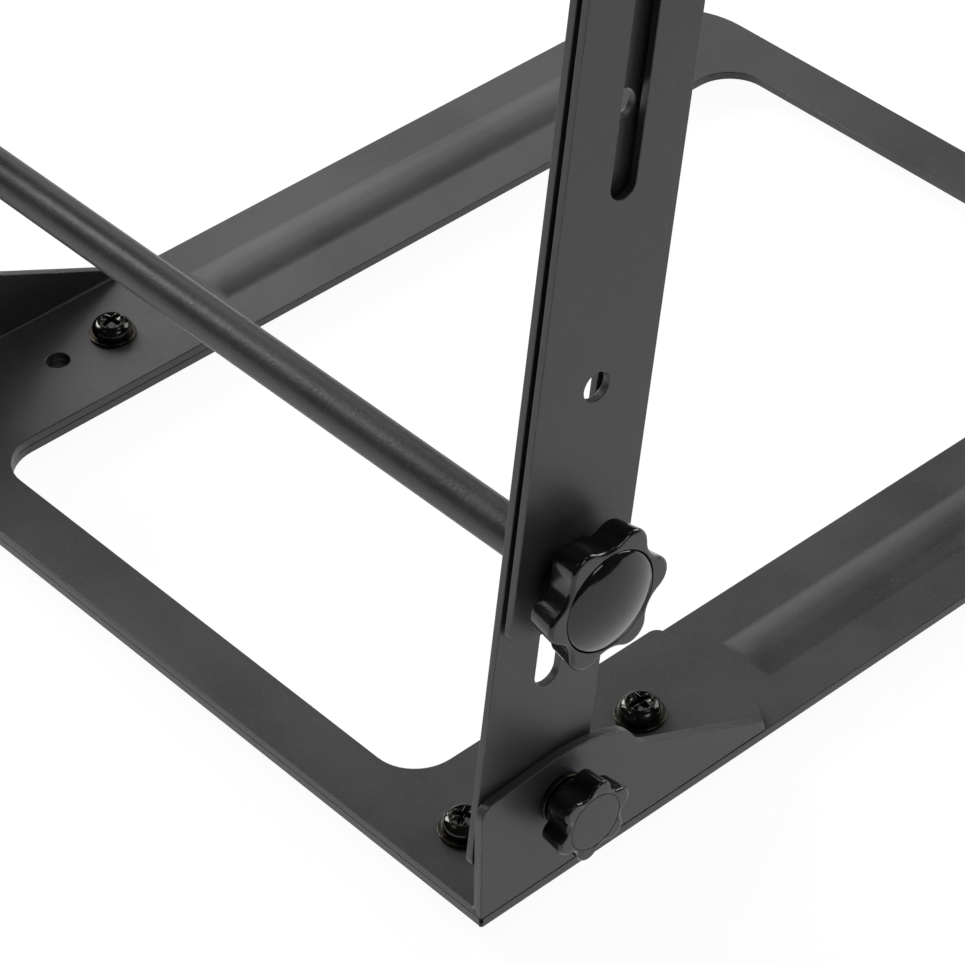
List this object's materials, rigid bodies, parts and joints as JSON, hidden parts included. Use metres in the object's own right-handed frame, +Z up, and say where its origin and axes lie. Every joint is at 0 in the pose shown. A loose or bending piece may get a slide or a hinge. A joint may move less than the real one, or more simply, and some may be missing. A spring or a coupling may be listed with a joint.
{
  "type": "folding laptop stand",
  "caption": "Folding steel laptop stand: stamped base ring, telescoping side arms held by star knobs, and a tilting open tray with lips.",
  "frame": {"origin": "on the floor, under the middle of the base", "axes": "+X across the stand to the right side, +Y from the hinge end to the user's end, +Z up"},
  "size_m": [0.2824, 0.3, 0.3348],
  "materials": {
    "coat": "fine matt black powder coat on stamped sheet steel",
    "tubes": "coarser grained matt black powder coat on round tube",
    "knobs": "gloss black moulded plastic",
    "caps": "gloss black moulded plastic",
    "screws": "black plated steel, glossy",
    "washers": "black plated steel with a warm sheen at the rim",
    "zinc": "zinc plated",
    "inserts": "turned",
    "nylon": "dark nylon",
    "rubber": "matt"
  },
  "bodies": {
    "base": {"base_frame": "coat", "base_bracket": "coat", "base_screws": "screws", "base_washers": "washers", "base_nuts": "zinc", "base_feet": "rubber", "base_pivot_washers": "washers"},
    "lower_arms": {"lower_bar_left": "coat", "lower_bar_right": "coat", "base_pivot_bolts": "zinc", "base_pivot_shims": "nylon", "upper_tube": "tubes", "upper_tube_plugs": "zinc", "upper_slide_washers": "nylon"},
    "upper_arms": {"upper_bar_left": "coat", "upper_bar_right": "coat", "lower_tube": "tubes", "lower_tube_plugs": "zinc", "lower_slide_washers": "nylon", "tray_pivot_washers": "washers"},
    "tray": {"tray_frame": "coat", "tray_bracket": "coat", "tray_screws": "screws", "tray_nuts": "zinc", "tray_pads": "rubber", "tray_pivot_bolts": "zinc", "tray_pivot_shims": "nylon"},
    "base_knob_left": {"base_knob_left": "knobs", "base_knob_cap_left": "caps", "base_knob_insert_left": "inserts"},
    "base_knob_right": {"base_knob_right": "knobs", "base_knob_cap_right": "caps", "base_knob_insert_right": "inserts"},
    "lower_clamp_left": {"lower_clamp_knob_left": "knobs", "lower_clamp_cap_left": "caps", "lower_clamp_stud_left": "zinc"},
    "lower_clamp_right": {"lower_clamp_knob_right": "knobs", "lower_clamp_cap_right": "caps", "lower_clamp_stud_right": "zinc"},
    "upper_clamp_left": {"upper_clamp_knob_left": "knobs", "upper_clamp_cap_left": "caps", "upper_clamp_stud_left": "zinc"},
    "upper_clamp_right": {"upper_clamp_knob_right": "knobs", "upper_clamp_cap_right": "caps", "upper_clamp_stud_right": "zinc"},
    "tray_knob_left": {"tray_knob_left": "knobs", "tray_knob_cap_left": "caps", "tray_knob_insert_left": "inserts"},
    "tray_knob_right": {"tray_knob_right": "knobs", "tray_knob_cap_right": "caps", "tray_knob_insert_right": "inserts"}
  },
  "joints": [
    {"name": "arm_fold", "type": "hinge", "parent": "base", "child": "lower_arms", "pos_m": [0, -0.125, 0.0311], "axis": [-1, 0, 0], "range_deg": [-28, 80.5]},
    {"name": "arm_slide", "type": "slide", "parent": "lower_arms", "child": "upper_arms", "axis": [0, 0.165, 0.9863], "range_m": [-0.006, 0.0645]},
    {"name": "tray_tilt", "type": "hinge", "parent": "upper_arms", "child": "tray", "pos_m": [0, -0.07719, 0.31683], "axis": [-1, 0, 0], "range_deg": [-60, 87.5]},
    {"name": "base_knob_left_turn", "type": "hinge", "parent": "base", "child": "base_knob_left", "pos_m": [-0.13, -0.125, 0.0311], "axis": [-1, 0, 0], "continuous": true},
    {"name": "base_knob_right_turn", "type": "hinge", "parent": "base", "child": "base_knob_right", "pos_m": [0.13, -0.125, 0.0311], "axis": [1, 0, 0], "continuous": true},
    {"name": "lower_clamp_left_turn", "type": "hinge", "parent": "upper_arms", "child": "lower_clamp_left", "pos_m": [-0.13, -0.12083, 0.09539], "axis": [-1, 0, 0], "continuous": true},
    {"name": "lower_clamp_right_turn", "type": "hinge", "parent": "upper_arms", "child": "lower_clamp_right", "pos_m": [0.13, -0.12083, 0.09539], "axis": [1, 0, 0], "continuous": true},
    {"name": "upper_clamp_left_turn", "type": "hinge", "parent": "lower_arms", "child": "upper_clamp_left", "pos_m": [-0.13, -0.09418, 0.25468], "axis": [-1, 0, 0], "continuous": true},
    {"name": "upper_clamp_right_turn", "type": "hinge", "parent": "lower_arms", "child": "upper_clamp_right", "pos_m": [0.13, -0.09418, 0.25468], "axis": [1, 0, 0], "continuous": true},
    {"name": "tray_knob_left_turn", "type": "hinge", "parent": "upper_arms", "child": "tray_knob_left", "pos_m": [-0.13, -0.07719, 0.31683], "axis": [-1, 0, 0], "continuous": true},
    {"name": "tray_knob_right_turn", "type": "hinge", "parent": "upper_arms", "child": "tray_knob_right", "pos_m": [0.13, -0.07719, 0.31683], "axis": [1, 0, 0], "continuous": true}
  ]
}
